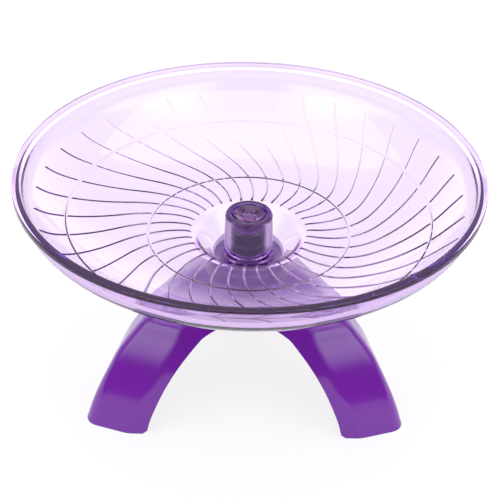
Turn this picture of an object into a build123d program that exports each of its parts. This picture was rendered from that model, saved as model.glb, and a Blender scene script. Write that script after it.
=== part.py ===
from build123d import *
from math import atan2, cos, degrees, hypot, radians, sin
import os

os.makedirs("parts", exist_ok=True)

# Chinchilla exercise wheel: a transparent running dish that spins on two ball bearings
# over a moulded three-legged stand. Millimetres, +Z up, the floor at Z = 0 and the hub on Z.
# The front of the object faces -Y, with one arch there and one leg straight behind.

# Dish
dish_radius = 90.0          # outermost edge of the rim
dish_depth = 30.4           # rim above the running floor
rim_bead_radius = 2.7       # half the thickness of the rolled rim
dish_wall = 2.6             # floor and wall
floor_rise = 8.2            # running floor beside the hub, above the lower bearing's seat
flat_radius = 36.0          # where the floor starts to curve up
bowl_slope = 43.4           # slope where the bowl turns up into its wall, in degrees
wall_slope = 85.0           # slope of the wall at the rim, in degrees
well_lip_radius = 21.6      # mouth of the sunken ring round the hub
well_floor_radius = 13.5
well_depth = 9.7
well_round = 4.0            # at its lip and its foot
# points of the bowl between its flat and the rim, as shares of that reach and rise
bowl_reach_shares = (0.48, 0.77, 0.932)
bowl_rise_shares = (0.159, 0.433, 0.671)
turn_reach_share = 0.9756
turn_rise_share = 0.774

# Two ring ribs on the floor of the dish
rib_width = 0.8
rib_height = 0.5
# places of the two ring ribs along the bowl's curve, and their height in a rib's
ring_rib_shares = (0.072, 0.713)
ring_rib_height_share = 0.8

# Hub tube in the middle of the dish
hub_rise = 8.4              # top of the tube above the running floor
hub_base_radius = 9.8
hub_top_radius = 8.9
hub_edge_round = 0.6
seat_hole_radius = 5.0

# Ball bearings, two alike
bearing_radius = 7.0
bearing_bore_radius = 2.5
bearing_width = 5.0
ball_radius = 1.1
ball_count = 7
land_gap = 0.8              # ball circle to the land of either race
ball_clearance = 0.03
cage_thickness = 0.8
cage_width = 3.0
pocket_clearance = 0.05
shield_thickness = 0.25
shield_inset = 0.1
shield_seat = 0.3           # how far a shield reaches into the outer race
shield_gap = 0.1            # shield to inner race
bearing_fit = 0.02          # play round a race and inside it
bearing_spacing = 1.0       # distance between the two bearings
spacer_wall = 1.0

# Spindle that holds the dish on the stand, with its nut and washer
head_radius = 3.7
head_thickness = 0.9
head_round = 0.3
washer_radius = 5.0
washer_thickness = 1.0
nut_across_flats = 8.0
nut_thickness = 4.0
spindle_overhang = 1.5      # spindle showing below its nut
spindle_tip_chamfer = 0.5

# Hub cap with a six-sided recess
cap_gap = 0.3               # above the spindle's head
cap_skirt_wall = 0.8
cap_floor = 0.9
cap_hex_radius = 6.3        # to the recess's corners
cap_edge_chamfer = 0.3

# Stand: a three-cornered dome with an arch in each side
stand_shell = 3.0
dome_height = 51.0
foot_reach = 72.4           # axis to the ridge of a leg, on the floor
side_share = 0.5967         # axis to the flat of a side on the floor, of the foot's reach
collar_share = 0.2403       # foot of the collar, of the foot's reach
collar_taper = 2.1
collar_rise = 5.3           # top of the collar above the dome
collar_round = 1.2
post_radius = 3.7           # carries the lower bearing's inner race
post_height = 5.1
bend_round = 12.0           # where the facets meet the flat
arch_share = 0.533          # half the width of an arch, of the foot's reach
arch_cover = 6.5            # dome above an arch's crown
foot_round = 1.8            # corners of the feet beside the arches
boss_radius = 6.5
boss_length = 9.8
web_thickness = 2.0
web_drop = 5.5              # how far the webs reach below the boss
spindle_play = 0.1          # round the spindle in its boss
# heights up the dome, with how much of the foot's reach and of the side's is left at each
dome_height_shares = (0.0, 0.19, 0.43, 0.615, 0.735, 0.845, 0.935, 1.0)
ridge_shares = (1.0, 0.95, 0.862, 0.776, 0.693, 0.598, 0.44, 0.25)
flat_shares = (1.0, 0.961, 0.889, 0.806, 0.727, 0.632, 0.5, 0.4)
# turn of the facets beside each ridge against the flat, in degrees, and the ridge's
# rounding as shares of the flat's reach, at the same heights
facet_turns = (18.3, 18.3, 18.3, 18.3, 18.3, 19.0, 22.0, 30.0)
ridge_round_shares = (0.14, 0.12, 0.105, 0.115, 0.13, 0.165, 0.28, 0.7)
# one half of an arch from its foot to just before its crown
arch_width_shares = (1.0, 0.932, 0.8, 0.635, 0.438, 0.332)
arch_rise_shares = (0.0, 0.225, 0.501, 0.721, 0.876, 0.928)

# One overrun serves every cut
overrun = 1.0

# Places that follow from the sizes above, from the stand upwards
side_reach = foot_reach * side_share
collar_base_radius = foot_reach * collar_share
collar_top_radius = collar_base_radius - collar_taper
collar_top = dome_height + collar_rise
arch_half_width = foot_reach * arch_share
arch_height = dome_height - arch_cover
arch_start = collar_base_radius + stand_shell
boss_bottom = collar_top - stand_shell - boss_length
web_bottom = boss_bottom - web_drop
bearing_seat = collar_top + post_height
floor_top = bearing_seat + floor_rise
hub_top = floor_top + hub_rise
rim_top = floor_top + dish_depth
rim_centre = (dish_radius - rim_bead_radius, rim_top - rim_bead_radius)
bowl_reach = rim_centre[0] - dish_wall / 2 - flat_radius
bowl_rise = rim_centre[1] - floor_top
well_floor_top = floor_top - well_depth
hub_bore_radius = bearing_radius + bearing_fit
spindle_radius = bearing_bore_radius - bearing_fit
ball_circle_radius = (bearing_bore_radius + bearing_radius) / 2
upper_seat = bearing_seat + bearing_width + bearing_spacing
stack_top = upper_seat + bearing_width
head_top = stack_top + head_thickness
nut_top = boss_bottom - washer_thickness
web_start = (washer_radius + boss_radius) / 2
nut_bottom = nut_top - nut_thickness


def bowl_point(reach_share, rise_share):
    """Point of the bowl's curve, as radius and height."""
    return (flat_radius + bowl_reach * reach_share, floor_top + bowl_rise * rise_share)


def direction(angle):
    """Unit vector at this angle in degrees."""
    return (cos(radians(angle)), sin(radians(angle)))


def slope_along(curve, share):
    """Slope of a curve at a share of its length, in degrees."""
    along = curve % share
    return degrees(atan2(along.Y, along.X))


def beside(curve, gap):
    """Spline that keeps this gap on the right-hand side of a curve."""
    points = []
    for share in (0, 0.25, 0.5, 0.75, 1):
        along = curve % share
        points.append(curve @ share + Vector(along.Y, -along.X) * gap)
    return Spline(*points, tangents=[curve % 0, curve % 1])


def finish(piece, name):
    """Label a finished piece and write it."""
    piece.part.label = name
    export_step(piece.part, f"parts/{name}.step")


# Upper surface of the dish from its flat floor out to the rim, as radius and height.
with BuildLine() as floor_line:
    bowl = Spline(
        (flat_radius, floor_top),
        *[bowl_point(*shares) for shares in zip(bowl_reach_shares, bowl_rise_shares)],
        tangents=[direction(0), direction(bowl_slope)],
    )
    turn = Spline(
        bowl @ 1,
        bowl_point(turn_reach_share, turn_rise_share),
        bowl_point(1, 1),
        tangents=[direction(bowl_slope), direction(wall_slope)],
    )
ring_places = [Location(bowl @ share, (0, 0, slope_along(bowl, share))) for share in ring_rib_shares]

# Dish: well, bowl, wall and rolled rim in one wall, with the hub tube and the ring ribs on it
with BuildPart() as dish:
    with BuildSketch(Plane.XZ) as section:
        with BuildLine():
            Polyline(
                (seat_hole_radius, well_floor_top - dish_wall),
                (hub_base_radius, well_floor_top - dish_wall),
                (hub_base_radius, well_floor_top),
                (hub_top_radius, hub_top),
                (hub_bore_radius, hub_top),
                (hub_bore_radius, bearing_seat),
                (seat_hole_radius, bearing_seat),
                close=True,
            )
        make_face()
        tube_corners = section.vertices().sort_by(Axis.Y)[-2:]
        fillet(tube_corners.sort_by(Axis.X)[-1], radius=hub_edge_round)
        with BuildLine():
            FilletPolyline(
                (seat_hole_radius, well_floor_top),
                (well_floor_radius, well_floor_top),
                (well_lip_radius, floor_top),
                (flat_radius, floor_top),
                radius=well_round,
            )
            offset(amount=dish_wall, side=Side.RIGHT)
        make_face()
        for curve in (bowl, turn):
            with BuildLine():
                add(curve)
                underside = beside(curve, dish_wall)
                Line(curve @ 0, underside @ 0)
                Line(curve @ 1, underside @ 1)
            make_face()
        with Locations(rim_centre):
            Circle(rim_bead_radius)
        for place in ring_places:
            with Locations(place):
                Rectangle(rib_width, 2 * rib_height * ring_rib_height_share)
    revolve(axis=Axis.Z)
finish(dish, "dish")

# Hub cap: a translucent plug in the top of the tube that holds the upper bearing down
with BuildPart() as hub_cap:
    with BuildSketch(Plane.XZ):
        with BuildLine():
            cap_bottom = head_top + cap_gap
            Polyline(
                (0, cap_bottom),
                (bearing_radius - cap_skirt_wall, cap_bottom),
                (bearing_radius - cap_skirt_wall, stack_top),
                (bearing_radius, stack_top),
                (bearing_radius, hub_top),
                (0, hub_top),
                close=True,
            )
        make_face()
    revolve(axis=Axis.Z)
    with BuildSketch(Plane.XY.offset(cap_bottom + cap_floor)):
        RegularPolygon(cap_hex_radius, side_count=6)
    extrude(amount=hub_top - cap_bottom, mode=Mode.SUBTRACT)
    rim_edges = hub_cap.faces().filter_by(Plane.XY).sort_by(Axis.Z)[-1].edges()
    chamfer(rim_edges.filter_by(GeomType.LINE), length=cap_edge_chamfer)
finish(hub_cap, "hub_cap")

# Ball bearings: races, balls in their cage and a pressed shield on either side
outer_land_radius = ball_circle_radius + land_gap
inner_land_radius = ball_circle_radius - land_gap
shield_radius = outer_land_radius + shield_seat
for place, seat in (("lower", bearing_seat), ("upper", upper_seat)):
    middle = seat + bearing_width / 2
    top = seat + bearing_width
    with BuildPart() as outer_race:
        with BuildSketch(Plane.XZ):
            with Locations((outer_land_radius, seat)):
                Rectangle(
                    bearing_radius - outer_land_radius,
                    bearing_width,
                    align=(Align.MIN, Align.MIN),
                )
            with Locations((ball_circle_radius, middle)):
                Circle(ball_radius + ball_clearance, mode=Mode.SUBTRACT)
            with Locations((outer_land_radius, seat), (outer_land_radius, top)):
                Rectangle(2 * shield_seat, 2 * (shield_inset + shield_thickness), mode=Mode.SUBTRACT)
        revolve(axis=Axis.Z)
    finish(outer_race, f"{place}_bearing_outer_race")

    with BuildPart() as inner_race:
        with BuildSketch(Plane.XZ):
            with Locations((bearing_bore_radius, seat)):
                Rectangle(
                    inner_land_radius - bearing_bore_radius,
                    bearing_width,
                    align=(Align.MIN, Align.MIN),
                )
            with Locations((ball_circle_radius, middle)):
                Circle(ball_radius + ball_clearance, mode=Mode.SUBTRACT)
        revolve(axis=Axis.Z)
    finish(inner_race, f"{place}_bearing_inner_race")

    with BuildPart() as balls:
        with Locations((0, 0, middle)):
            with PolarLocations(ball_circle_radius, ball_count):
                Sphere(ball_radius)
    finish(balls, f"{place}_bearing_balls")

    with BuildPart() as cage:
        with BuildSketch(Plane.XZ):
            with Locations((ball_circle_radius, middle)):
                Rectangle(cage_thickness, cage_width)
        revolve(axis=Axis.Z)
        with Locations((0, 0, middle)):
            with PolarLocations(ball_circle_radius, ball_count):
                Cylinder(
                    ball_radius + pocket_clearance,
                    2 * cage_thickness,
                    rotation=(0, 90, 0),
                    mode=Mode.SUBTRACT,
                )
    finish(cage, f"{place}_bearing_cage")

    shield_bottoms = {
        "bottom": seat + shield_inset,
        "top": top - shield_inset - shield_thickness,
    }
    for side, shield_bottom in shield_bottoms.items():
        with BuildPart() as shield:
            with BuildSketch(Plane.XY.offset(shield_bottom)):
                Circle(shield_radius)
                Circle(inner_land_radius + shield_gap, mode=Mode.SUBTRACT)
            extrude(amount=shield_thickness)
        finish(shield, f"{place}_bearing_{side}_shield")

# Spacers between the bearings: a ring for the outer races and a sleeve for the inner ones
lower_top = bearing_seat + bearing_width
with BuildPart() as spacer_ring:
    with BuildSketch(Plane.XY.offset(lower_top)):
        Circle(bearing_radius)
        Circle(bearing_radius - spacer_wall, mode=Mode.SUBTRACT)
    extrude(amount=bearing_spacing)
finish(spacer_ring, "bearing_spacer_ring")

with BuildPart() as spacer_sleeve:
    with BuildSketch(Plane.XY.offset(lower_top)):
        Circle(bearing_bore_radius + spacer_wall)
        Circle(bearing_bore_radius, mode=Mode.SUBTRACT)
    extrude(amount=bearing_spacing)
finish(spacer_sleeve, "bearing_spacer_sleeve")

# Spindle: a headed pin from the upper bearing down through the stand
with BuildPart() as spindle:
    spindle_bottom = nut_bottom - spindle_overhang
    with BuildSketch(Plane.XY.offset(spindle_bottom)):
        Circle(spindle_radius)
    extrude(amount=stack_top - spindle_bottom)
    chamfer(spindle.edges().sort_by(Axis.Z)[0], length=spindle_tip_chamfer)
    with BuildSketch(Plane.XY.offset(stack_top)):
        Circle(head_radius)
    extrude(amount=head_thickness)
    fillet(spindle.edges().sort_by(Axis.Z)[-1], radius=head_round)
finish(spindle, "spindle")

# Washer and nut under the stand's boss
with BuildPart() as washer:
    with BuildSketch(Plane.XY.offset(nut_top)):
        Circle(washer_radius)
        Circle(spindle_radius + bearing_fit, mode=Mode.SUBTRACT)
    extrude(amount=washer_thickness)
finish(washer, "spindle_washer")

with BuildPart() as nut:
    with BuildSketch(Plane.XY.offset(nut_bottom)):
        RegularPolygon(nut_across_flats / 2, side_count=6, major_radius=False)
        Circle(spindle_radius + bearing_fit, mode=Mode.SUBTRACT)
    extrude(amount=nut_thickness)
finish(nut, "spindle_nut")


def dome_sections(wall):
    """Nine-sided sections of the dome, each drawn in from its surface by a wall."""
    sections = []
    for height, ridge, flat, facet, rounding in zip(
        dome_height_shares, ridge_shares, flat_shares, facet_turns, ridge_round_shares
    ):
        apothem = side_reach * flat - wall
        ridge_round = apothem * rounding
        facet_along, facet_up = direction(facet)
        ridge_along = cos(radians(60 - facet))
        corner = foot_reach * ridge - wall + ridge_round * (1 / ridge_along - 1)
        bend = (corner * ridge_along - apothem * facet_along) / facet_up
        bend_turn = 60 - degrees(atan2(bend, apothem))
        outline = []
        for leg in (90, 210, 330):
            for turn, reach in (
                (-bend_turn, hypot(bend, apothem)),
                (0, corner),
                (bend_turn, hypot(bend, apothem)),
            ):
                outline.append(Vector(*direction(leg + turn)) * reach)
        with BuildSketch(Plane.XY.offset((dome_height - wall) * height)) as section:
            Polygon(*outline, align=None)
            fillet(section.vertices().sort_by_distance((0, 0, 0))[:6], radius=bend_round)
            fillet(section.vertices().sort_by_distance((0, 0, 0))[-3:], radius=ridge_round)
        sections.append(section.sketch)
    return sections


# Hollow under the dome, less the boss for the spindle and the three webs that brace it
with BuildPart() as hollow:
    loft(sections=dome_sections(stand_shell))
    with BuildSketch(Plane.XY.offset(dome_height / 2)):
        Circle(collar_top_radius - stand_shell)
    extrude(amount=collar_top - stand_shell - dome_height / 2)
    with BuildSketch(Plane.XY.offset(boss_bottom)):
        Circle(boss_radius)
    extrude(amount=collar_top - boss_bottom, mode=Mode.SUBTRACT)
    with BuildSketch(Plane.XY.offset(web_bottom)):
        with PolarLocations((web_start + foot_reach) / 2, 3, start_angle=90):
            Rectangle(foot_reach - web_start, web_thickness)
    extrude(amount=collar_top - web_bottom, mode=Mode.SUBTRACT)

# Arch: the opening under the front side, from its own curve straight out through the shell
with BuildPart() as arch:
    with BuildSketch(Plane.XZ.offset(arch_start)):
        with BuildLine():
            half = [
                (arch_half_width * width, arch_height * rise)
                for width, rise in zip(arch_width_shares, arch_rise_shares)
            ]
            mirrored = [(-x, z) for x, z in reversed(half)]
            curve = Spline(*half, (0, arch_height), *mirrored, tangents=[(0, 1), (0, -1)])
            Polyline(
                curve @ 1,
                (-arch_half_width, -overrun),
                (arch_half_width, -overrun),
                curve @ 0,
            )
        make_face()
    extrude(amount=side_reach)

# Stand: the lofted dome with its collar, hollowed, with an arch cut through each side
with BuildPart() as stand:
    loft(sections=dome_sections(0))
    with BuildSketch(Plane.XZ):
        with BuildLine():
            Polyline(
                (0, dome_height / 2),
                (collar_base_radius, dome_height / 2),
                (collar_base_radius, dome_height),
                (collar_top_radius, collar_top),
                (0, collar_top),
                close=True,
            )
        make_face()
    revolve(axis=Axis.Z)
    fillet(stand.edges().filter_by(GeomType.CIRCLE).sort_by(Axis.Z)[-1], radius=collar_round)
    add(hollow.part, mode=Mode.SUBTRACT)
    with PolarLocations(0, 3):
        add(arch.part, mode=Mode.SUBTRACT)
    foot_edges = stand.edges().group_by(Axis.Z)[0].filter_by(GeomType.LINE)
    fillet(foot_edges.sort_by(SortBy.LENGTH)[:6], radius=foot_round)
    with BuildSketch(Plane.XY.offset(collar_top - collar_round)):
        Circle(post_radius)
    extrude(amount=bearing_seat - collar_top + collar_round)
    with BuildSketch(Plane.XY.offset(boss_bottom)):
        Circle(spindle_radius + spindle_play)
    extrude(amount=bearing_seat - boss_bottom, mode=Mode.SUBTRACT)
finish(stand, "stand")
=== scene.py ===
import bisect
import math

import bmesh
import bpy
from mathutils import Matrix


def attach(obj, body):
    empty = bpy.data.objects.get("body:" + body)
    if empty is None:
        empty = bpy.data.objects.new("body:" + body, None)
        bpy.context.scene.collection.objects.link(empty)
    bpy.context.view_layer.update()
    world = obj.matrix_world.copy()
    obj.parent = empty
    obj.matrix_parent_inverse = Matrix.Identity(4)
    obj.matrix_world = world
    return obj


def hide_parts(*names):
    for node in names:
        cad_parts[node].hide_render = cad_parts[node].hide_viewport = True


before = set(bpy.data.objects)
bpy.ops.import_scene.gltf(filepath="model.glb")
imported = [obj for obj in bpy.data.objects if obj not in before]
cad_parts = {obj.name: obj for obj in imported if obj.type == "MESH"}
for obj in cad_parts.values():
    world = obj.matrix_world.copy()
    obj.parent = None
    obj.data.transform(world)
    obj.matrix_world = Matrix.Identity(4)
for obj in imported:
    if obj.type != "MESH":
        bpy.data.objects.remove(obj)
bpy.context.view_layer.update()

MM = 0.001
WALL = 2.6
RIM_RADIUS, RIM_TOP, LIP_INSIDE, LIP_BOTTOM = 90.0, 98.4, 87.0, 95.9
LIP_ROUND, LIP_FILLET, LIP_SLANT = 0.45, 0.4, 0.7
LIP_FLARE, LIP_FLARE_DROP = 0.7, 2.0
FLOOR_TOP, FLAT_RADIUS = 69.6, 36.0
BOWL_CURVE, BOWL_SLOPE = 67.8, 43.4
TURN_CURVE, WALL_SLOPE = 10.2, 85.0
TURN_TOP_DROP, TURN_TOP_ANGLE, BOWL_END_GAP = 0.6, -4.0, 0.8
WELL_LIP, WELL_FOOT, WELL_FLOOR = 21.6, 13.5, 59.9
WELL_ROUND, BROW_ROUND = 4.0, 7.5
WELL_LEAN = math.atan2(FLOOR_TOP - WELL_FLOOR, WELL_LIP - WELL_FOOT)
TUBE_FOOT, TUBE_TOP_RADIUS, TUBE_TOP, TUBE_BORE = 9.8, 8.75, 78.0, 7.02
TUBE_MOUTH_ROUND, TUBE_FOOT_ROUND = 0.35, 0.8
SHOULDER_RADIUS, SHOULDER, SHOULDER_ROUND = 9.3, 76.9, 1.2
SEAT, SEAT_HOLE, SEAT_HOLE_MIDDLE, HOLE_CHAMFER = 61.4, 5.0, 59.3, 0.2
UNDER_FLAT_LOOPS, UNDER_WELL_LOOPS = (32.0, 28.0), (9.0, 7.0)
RIB_COUNT, RIB_WIDTH, RIB_HEIGHT = 34, 0.8, 0.5
RIB_START, RIB_END = 22.6, 82.6
RIB_RISE, RIB_SINK = (RIB_START - 0.05, RIB_START + 0.35), (RIB_END - 0.5, RIB_END - 0.1)
RIB_PHASE, RIB_LEAN = -102.6, -10.5
RIB_ARCS = ((0.5, 57.0), (2.0, 15.0), (0.44, -16.0))
RIB_STEPS, RIB_FULLNESS = 24, 2.6
RIB_COLUMNS = (-1.25, -1.0, -0.8, -0.5, 0.0, 0.5, 0.8, 1.0, 1.25)
COLUMNS_BETWEEN_RIBS = 7
RING_RADII, RING_HEIGHT, RING_GAP = (39.7, 70.9), 0.4, 0.5
SAMPLE_FINE, SAMPLE_COARSE, SAMPLE_NEAR, SAMPLE_AHEAD = 0.16, 0.9, 1.2, 0.3
FLOOR_LEAD, BROW_GAP = 0.1, 0.15
DISH_DEPTH_COLOUR, DISH_DENSITY = (0.6, 0.18, 0.87), 105.0
# colour of the painted glow that the dish's plastic gives off inside
DISH_PAINTED_GLOW = (1.5, 0.25, 1.8)
DISH_POLISH, BORE_POLISH = 0.012, 0.16


def arc(centre, radius, start, stop, steps):
    """Points of an arc in the plane of radius and height, between two angles in degrees."""
    points = []
    for i in range(steps + 1):
        angle = math.radians(start + (stop - start) * i / steps)
        points.append((centre[0] + radius * math.cos(angle), centre[1] + radius * math.sin(angle)))
    return points


def line(start, stop, shares):
    """Points of a straight line, at shares of its length."""
    return [(start[0] + (stop[0] - start[0]) * share, start[1] + (stop[1] - start[1]) * share)
            for share in shares]


def rounded(before, corner, after, radius, steps=6):
    """Points that round the corner of an outline."""
    def towards(point):
        dx, dz = point[0] - corner[0], point[1] - corner[1]
        length = math.hypot(dx, dz)
        return dx / length, dz / length

    u, v = towards(before), towards(after)
    half = math.acos(max(-1, min(1, u[0] * v[0] + u[1] * v[1]))) / 2
    reach = radius / math.tan(half)
    start = (corner[0] + u[0] * reach, corner[1] + u[1] * reach)
    stop = (corner[0] + v[0] * reach, corner[1] + v[1] * reach)
    middle = radius / math.sin(half)
    length = math.hypot(u[0] + v[0], u[1] + v[1])
    centre = (corner[0] + (u[0] + v[0]) / length * middle,
              corner[1] + (u[1] + v[1]) / length * middle)
    a = math.atan2(start[1] - centre[1], start[0] - centre[0])
    b = math.atan2(stop[1] - centre[1], stop[0] - centre[0])
    turn = (b - a + math.pi) % (2 * math.pi) - math.pi
    return arc(centre, radius, math.degrees(a), math.degrees(a + turn), steps)


def ridge(distance, half_width):
    """Height of a rib's rounded section at a distance from its middle, between 0 and 1."""
    return max(0.0, 1 - (abs(distance) / half_width) ** RIB_FULLNESS)


def ramp(value, low, high):
    """Smooth step from 0 at low to 1 at high."""
    t = max(0.0, min(1.0, (value - low) / (high - low)))
    return t * t * (3 - 2 * t)


def rib_path():
    """Radius, turn and slant of a rib's middle line along its three arcs."""
    x, y, heading = RIB_START, 0.0, math.radians(RIB_LEAN)
    path = []
    run = RIB_END - RIB_START
    for curve_share, bend in RIB_ARCS:
        stride = run * curve_share * abs(math.radians(bend)) / RIB_STEPS
        for _ in range(RIB_STEPS):
            path.append((math.hypot(x, y), math.atan2(y, x), heading - math.atan2(y, x)))
            heading += math.radians(bend) / RIB_STEPS / 2
            x += stride * math.cos(heading)
            y += stride * math.sin(heading)
            heading += math.radians(bend) / RIB_STEPS / 2
    path.append((math.hypot(x, y), math.atan2(y, x), heading - math.atan2(y, x)))
    return path


RIB_PATH = rib_path()
RIB_PATH_RADII = [point[0] for point in RIB_PATH]


def rib_at(radius):
    """Turn and slant of a rib at a radius, held still beyond its ends."""
    radius = max(RIB_PATH_RADII[0], min(RIB_PATH_RADII[-1], radius))
    i = max(1, min(len(RIB_PATH) - 1, bisect.bisect_left(RIB_PATH_RADII, radius)))
    a, b = RIB_PATH[i - 1], RIB_PATH[i]
    t = (radius - a[0]) / (b[0] - a[0])
    return a[1] + (b[1] - a[1]) * t, a[2] + (b[2] - a[2]) * t


def floor_samples():
    """Radius, height and slope along the running floor, closer together at its ridges."""
    samples = []
    special = (RIB_START, *RING_RADII, RIB_END)
    brow_reach = WELL_LIP + BROW_ROUND * math.tan(WELL_LEAN / 2)
    radius = RIB_START - FLOOR_LEAD
    while radius < FLAT_RADIUS + BOWL_CURVE * math.sin(math.radians(BOWL_SLOPE)):
        if radius <= FLAT_RADIUS:
            dip = max(0.0, brow_reach - radius)
            fall = BROW_ROUND - math.sqrt(BROW_ROUND ** 2 - dip ** 2)
            samples.append((radius, FLOOR_TOP - fall, math.asin(-dip / BROW_ROUND)))
        else:
            slope = math.asin((radius - FLAT_RADIUS) / BOWL_CURVE)
            samples.append((radius, FLOOR_TOP + BOWL_CURVE * (1 - math.cos(slope)), slope))
        near = min(abs(radius + SAMPLE_AHEAD - place) for place in special)
        radius += SAMPLE_FINE if near < SAMPLE_NEAR else SAMPLE_COARSE
    return samples


def hub_outline(under):
    """From the hole under the seat up the bore, over the tube's mouth and down into the well."""
    bore_top, tube_top = (TUBE_BORE, TUBE_TOP), (TUBE_TOP_RADIUS, TUBE_TOP)
    shoulder, foot = (SHOULDER_RADIUS, SHOULDER), (TUBE_FOOT, WELL_FLOOR)
    well, lip = (WELL_FOOT, WELL_FLOOR), (WELL_LIP, FLOOR_TOP)
    seat = (TUBE_BORE, SEAT)
    points = [(SEAT_HOLE, under + HOLE_CHAMFER), (SEAT_HOLE, SEAT_HOLE_MIDDLE), (SEAT_HOLE, SEAT)]
    points += [seat] + line(seat, bore_top, [i / 8 for i in range(1, 8)])
    points += rounded(seat, bore_top, tube_top, TUBE_MOUTH_ROUND, 4)
    points += rounded(bore_top, tube_top, shoulder, TUBE_MOUTH_ROUND, 6)
    points += rounded(tube_top, shoulder, foot, SHOULDER_ROUND, 8)
    points += line(shoulder, foot, [i / 10 for i in range(2, 10)])
    points += rounded(shoulder, foot, well, TUBE_FOOT_ROUND, 5)
    points += rounded(foot, well, lip, WELL_ROUND, 12)
    points += line(well, lip, (0.25, 0.4, 0.55, 0.68))
    brow = rounded(well, lip, (FLAT_RADIUS, FLOOR_TOP), BROW_ROUND, 18)
    return points + [point for point in brow if point[0] < RIB_START - BROW_GAP]


def rim_and_underside(under):
    """From the top of the bowl over the lip and down the outside to the hole under the seat."""
    slope = math.radians(BOWL_SLOPE)
    start = (FLAT_RADIUS + BOWL_CURVE * math.sin(slope),
             FLOOR_TOP + BOWL_CURVE * (1 - math.cos(slope)))
    centre = (start[0] - TURN_CURVE * math.sin(slope), start[1] + TURN_CURVE * math.cos(slope))
    wall_top = (centre[0] + TURN_CURVE + WALL, centre[1] - TURN_TOP_DROP)
    lip = [(LIP_INSIDE, RIM_TOP), (RIM_RADIUS, RIM_TOP), (RIM_RADIUS, LIP_BOTTOM),
           (wall_top[0], LIP_BOTTOM - LIP_SLANT)]
    points = arc(centre, TURN_CURVE, BOWL_SLOPE - 90, WALL_SLOPE - 90, 12)
    points += [(LIP_INSIDE - LIP_FLARE, RIM_TOP - LIP_FLARE_DROP)]
    points += rounded(points[-1], lip[0], lip[1], LIP_ROUND)
    points += rounded(lip[0], lip[1], lip[2], LIP_ROUND)
    points += [(RIM_RADIUS, (RIM_TOP + LIP_BOTTOM) / 2)]
    points += rounded(lip[1], lip[2], lip[3], LIP_ROUND)
    points += rounded(lip[2], lip[3], wall_top, LIP_FILLET)
    points += arc(centre, TURN_CURVE + WALL, TURN_TOP_ANGLE, BOWL_SLOPE - 90, 12)
    bowl_centre = (FLAT_RADIUS, FLOOR_TOP + BOWL_CURVE)
    points += arc(bowl_centre, BOWL_CURVE + WALL, BOWL_SLOPE - 90 - BOWL_END_GAP, -90, 48)
    points += [(radius, FLOOR_TOP - WALL) for radius in UNDER_FLAT_LOOPS]
    shift = WALL * math.tan(WELL_LEAN / 2)
    lip_under, foot_under = (WELL_LIP + shift, FLOOR_TOP - WALL), (WELL_FOOT + shift, under)
    flat_under = (FLAT_RADIUS, FLOOR_TOP - WALL)
    points += rounded(flat_under, lip_under, foot_under, BROW_ROUND - WALL, 14)
    points += line(lip_under, foot_under, (0.25, 0.38, 0.5, 0.62))
    points += rounded(lip_under, foot_under, (SEAT_HOLE, under), WELL_ROUND + WALL, 14)
    points += [(radius, under) for radius in UNDER_WELL_LOOPS]
    return points + [(SEAT_HOLE + HOLE_CHAMFER, under)]


def dish_profile():
    """Closed outline as (radius, height, slope), with a slope on the ribbed floor only."""
    under = WELL_FLOOR - WALL
    hub = [(radius, height, None) for radius, height in hub_outline(under)]
    rim = [(radius, height, None) for radius, height in rim_and_underside(under)]
    return hub + floor_samples() + rim


def new_piece(name, mesh_builder):
    """A mesh object made by a function that fills a bmesh."""
    mesh = bpy.data.meshes.new(name)
    bm = bmesh.new()
    mesh_builder(bm)
    bmesh.ops.recalc_face_normals(bm, faces=bm.faces)
    bm.to_mesh(mesh)
    bm.free()
    for polygon in mesh.polygons:
        polygon.use_smooth = True
    piece = bpy.data.objects.new(name, mesh)
    bpy.context.scene.collection.objects.link(piece)
    return piece


def corner_at(bm, radius, angle, height):
    """A new mesh corner at a radius, an angle and a height."""
    return bm.verts.new((radius * math.cos(angle) * MM, radius * math.sin(angle) * MM, height * MM))


def bridge(bm, rings, closed=False):
    """Four-sided faces from each ring of corners to the next, and to the first if closed."""
    pairs = list(zip(rings, rings[1:]))
    if closed:
        pairs.append((rings[-1], rings[0]))
    for a, b in pairs:
        for i in range(len(a)):
            j = (i + 1) % len(a)
            bm.faces.new((a[i], a[j], b[j], b[i]))


def build_dish(bm):
    """The dish as one closed grid whose columns follow the ribs."""
    half = RIB_WIDTH / 2
    pitch = 2 * math.pi / RIB_COUNT
    rows = []
    for radius, height, slope in dish_profile():
        turn, slant = rib_at(radius)
        across = max(RIB_START, min(RIB_END, radius)) * math.cos(slant)
        edge = RIB_COLUMNS[-1] * half / across
        gap = pitch - 2 * edge
        grow, ring = 0.0, 0.0
        if slope is not None:
            grow = min(ramp(radius, *RIB_RISE), 1 - ramp(radius, *RIB_SINK))
            for place in RING_RADII:
                apart = abs(radius - place) / math.cos(slope)
                grow = min(grow, ramp(apart, half + 0.5 * RING_GAP, half + RING_GAP))
                ring = max(ring, RING_HEIGHT * ridge(apart, half))
        row = []
        for k in range(RIB_COUNT):
            base = math.radians(RIB_PHASE) + k * pitch + turn
            columns = [(place * half / across, place) for place in RIB_COLUMNS]
            columns += [(edge + gap * (i + 1) / (COLUMNS_BETWEEN_RIBS + 1), None)
                        for i in range(COLUMNS_BETWEEN_RIBS)]
            for angle, place in columns:
                rise = ring
                if slope is not None and place is not None:
                    rise = max(ring, RIB_HEIGHT * grow * ridge(place, 1.0))
                row.append(corner_at(bm, radius - rise * math.sin(slope or 0.0), base + angle,
                                     height + rise * math.cos(slope or 0.0)))
        rows.append(row)
    bridge(bm, rows, closed=True)


def new_material(name):
    """A node material, with its nodes, its links and its Principled shader."""
    material = bpy.data.materials.new(name)
    material.use_nodes = True
    nodes = material.node_tree.nodes
    return material, nodes, material.node_tree.links, nodes["Principled BSDF"]


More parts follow.
